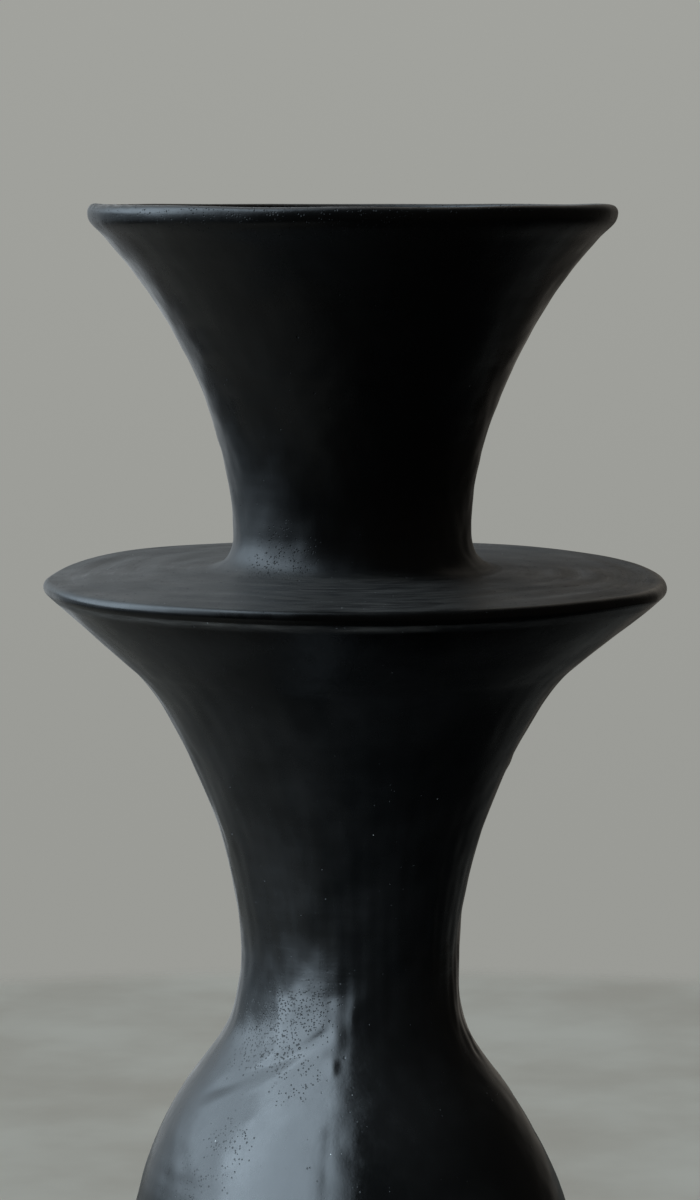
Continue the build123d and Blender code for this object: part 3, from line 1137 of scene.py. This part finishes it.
# What the room gives off at the left and at the right, and the wall that the camera sees
WALL_TONES = ((1.0, 1.0, 0.97, 1), (1.0, 0.93, 0.82, 1))
BACKDROP_TONE = (0.99, 1.0, 0.935, 1)

world = bpy.data.worlds.new("room")
bpy.context.scene.world = world
world.use_nodes = True
room = Recipe(world.node_tree)
way = room.node("ShaderNodeTexCoord", {}, {}, "Generated")
way_right = room.part(way, "X")
way_back = room.part(way, "Y")
way_up = room.part(way, "Z")
turn = way_right.math("ARCTAN2", way_right, 0.0 - way_back) * (180 / pi)
climb = way_up.math("ARCSINE", way_up) * (180 / pi)

# Each fade starts at nothing at its first angle and is full at its second
window = turn.fade(-45, -100) * turn.fade(-152, -100) * climb.fade(0, 12) * climb.fade(82, 62)
behind = turn.fade(-124, -165) * 0.38 + turn.fade(132, 176) * 0.2
left_wall = turn.fade(-60, -100) * climb.fade(-24, -10)
glow = window * WINDOW_STRENGTH + left_wall * LEFT_WALL_STRENGTH
walls = (behind + ROOM_STRENGTH) * climb.fade(-20, -7, 0.4, 1.0)
window_light = room.node("ShaderNodeBackground", {}, {"Color": DAYLIGHT, "Strength": glow})
wall_tone = room.colour(turn.fade(0, 60), *WALL_TONES)
wall_light = room.node("ShaderNodeBackground", {}, {"Color": wall_tone, "Strength": walls})
lights = room.node("ShaderNodeAddShader", {}, {0: window_light, 1: wall_light})
backdrop_strength = way_up.fade(-0.22, 0.12, 0.325, 0.366)
backdrop = room.node("ShaderNodeBackground", {}, {"Color": BACKDROP_TONE, "Strength": backdrop_strength})
camera_looks = room.node("ShaderNodeLightPath", {}, {}, "Is Camera Ray")
view_or_light = room.node("ShaderNodeMixShader", {}, {0: camera_looks, 1: lights, 2: backdrop})
room.node("ShaderNodeOutputWorld", {}, {"Surface": view_or_light})
print("the room has", len(world.node_tree.nodes), "nodes")

# %% [markdown]
# The panel is a tall soft light that stands upright at the front left. Its right-hand edge stands
# almost in line with the camera, and it is that edge, mirrored in the round body, that divides the
# body into a bright half and a black half. It could be one more patch of the world, but an upright
# light near the pot mirrors as a straight upright edge. It fades towards that edge, so the bright
# half falls off before it stops.
#
# It lights the body and the lower trumpet only, and keeps off the plate and everything above it.
# Light linking does that: it is a list of the pieces that a light may reach.

# %% The panel
# Bearings are in degrees, heights and the distance in metres. The fade runs along the panel, as
# (its dim end, where it is full, how bright each of the two is)
PANEL_DISTANCE = 1.0
PANEL_BEARINGS = (-80.0, 2.0)
PANEL_HEIGHTS = (0.0, 2.4)
PANEL_STRENGTH = 5.2
PANEL_FADE = (1.0, 0.56, 0.15, 1.0)
PANEL_FOOT_FADE = 0.08
PANEL_REACHES = ("body_bowl", "body_dome", "waist_collar", "lower_flare", "flare_brim")

panel_bearing = sum(PANEL_BEARINGS) / 2
panel_width = 2 * PANEL_DISTANCE * tan(radians(PANEL_BEARINGS[1] - panel_bearing))
panel_height = PANEL_HEIGHTS[1] - PANEL_HEIGHTS[0]
panel_data = bpy.data.lights.new("panel", "AREA")
panel_data.shape = "RECTANGLE"
panel_data.size = panel_width
panel_data.size_y = panel_height
panel_data.energy = PANEL_STRENGTH * pi * panel_width * panel_height
panel_data.use_nodes = True
sheet = Recipe(panel_data.node_tree)
share = sheet.node("ShaderNodeNewGeometry", {}, {}, "Parametric")
fading = sheet.part(share, "X").fade(*PANEL_FADE) * sheet.part(share, "Y").fade(0.0, PANEL_FOOT_FADE)
bright = sheet.node("ShaderNodeEmission", {}, {"Color": DAYLIGHT, "Strength": fading})
sheet.node("ShaderNodeOutputLight", {}, {"Surface": bright})
panel = bpy.data.objects.new("panel", panel_data)
panel.location = on_wall(panel_bearing, PANEL_DISTANCE, sum(PANEL_HEIGHTS) / 2)
panel.rotation_euler = (radians(90), 0, radians(panel_bearing))
panel.visible_camera = False
bpy.context.scene.collection.objects.link(panel)
reached = bpy.data.collections.new("reached by the panel")
for name in PANEL_REACHES:
    reached.objects.link(pieces[name])
panel.light_linking.receiver_collection = reached
print("panel", round(panel_width, 2), "x", round(panel_height, 2), "m")

# %% [markdown]
# ## The floor
# A straight edge of a floor would show as a horizon, so the floor is a disc, and its last few
# centimetres fade away. It lies a hair below the foot, so that the two faces don't flicker.
#
# The floor shows twice: to the camera, and mirrored in the pot. The camera sees it pale. Mirrored, it
# has painted shade at the front and the right and painted light at the left and the back, which keeps
# the pot's lower right black. One colour can't do both, so a Light Path node mixes two.

# %% Floor
FLOOR_RADIUS = 0.80
FLOOR_EDGE = (FLOOR_RADIUS - 0.06, FLOOR_RADIUS - 0.005)
FLOOR_DROP = 0.0002
PALE_TONES = ((0.555, 0.475, 0.385, 1), (0.66, 0.585, 0.485, 1))
# Tones of the floor as the pot mirrors it: the dark one is painted shade, the light one painted light
MIRRORED_SHADE_AND_LIGHT_TONES = ((0.020, 0.019, 0.018, 1), (0.36, 0.32, 0.27, 1))

floor_mesh = bpy.data.meshes.new("floor")
disc = bmesh.new()
bmesh.ops.create_circle(disc, cap_ends=True, cap_tris=True, segments=128, radius=FLOOR_RADIUS)
disc.to_mesh(floor_mesh)
disc.free()
floor = bpy.data.objects.new("floor", floor_mesh)
bpy.context.scene.collection.objects.link(floor)
floor.location.z = -FLOOR_DROP
pale_floor, ground = finish_named("pale_floor")
floor_place = ground.node("ShaderNodeTexCoord", {}, {}, "Object")
stain = ground.noise(floor_place, 9.0, 4.0, 0.55)
pale = ground.colour(stain.fade(0.3, 0.7), *PALE_TONES)
# Painted light and shade on the mirrored floor: lighter to the left and the back, where the window's light
# falls, darker at the front and the right, as in shadow
painted_light_left = ground.part(floor_place, "X").fade(0.05, -0.40)
painted_light_back = ground.part(floor_place, "Y").fade(0.05, 0.5)
mirrored_painted_shade_and_light = ground.colour(painted_light_left * 0.7 + painted_light_back * 0.35, *MIRRORED_SHADE_AND_LIGHT_TONES)
seen_direct = ground.node("ShaderNodeLightPath", {}, {}, "Is Camera Ray")
matte = ground.node("ShaderNodeBsdfDiffuse", {}, {"Color": ground.colour(seen_direct, mirrored_painted_shade_and_light, pale)})
nothing = ground.node("ShaderNodeBsdfTransparent", {}, {})
solid = ground.vector("LENGTH", floor_place, output="Value").fade(*FLOOR_EDGE, 1.0, 0.0)
surface = ground.node("ShaderNodeMixShader", {}, {0: solid, 1: nothing, 2: matte})
ground.node("ShaderNodeOutputMaterial", {}, {"Surface": surface})
floor_mesh.materials.append(pale_floor)
print("floor", 2 * FLOOR_RADIUS, "m across,", len(floor_mesh.polygons), "faces")

# %% [markdown]
# ## The camera
# It is level with the mouth, so the lip is seen exactly from the side, and the plate, which is lower,
# from above. It looks down a little to fit the body in. A wide lens nearer by would make the mouth
# loom, so it is a long one. The Standard view transform shows the tones as they are lit.

# %% Camera
CAMERA_HEIGHT = lip_centre[1] + LIP_ROUND
CAMERA_DISTANCE = 1.187
CAMERA_ASIDE = -0.6 * MM
CAMERA_PITCH = 6.09
LENS = 111
SENSOR = 36

camera_data = bpy.data.cameras.new("camera")
camera_data.lens = LENS
camera_data.sensor_width = SENSOR
camera = bpy.data.objects.new("camera", camera_data)
camera.location = (CAMERA_ASIDE, -CAMERA_DISTANCE, CAMERA_HEIGHT)
camera.rotation_euler = (radians(90 - CAMERA_PITCH), 0, 0)
bpy.context.scene.collection.objects.link(camera)
bpy.context.scene.camera = camera
bpy.context.scene.view_settings.view_transform = "Standard"
print("camera looks down by", round(90 - degrees(camera.rotation_euler.x), 2), "degrees")
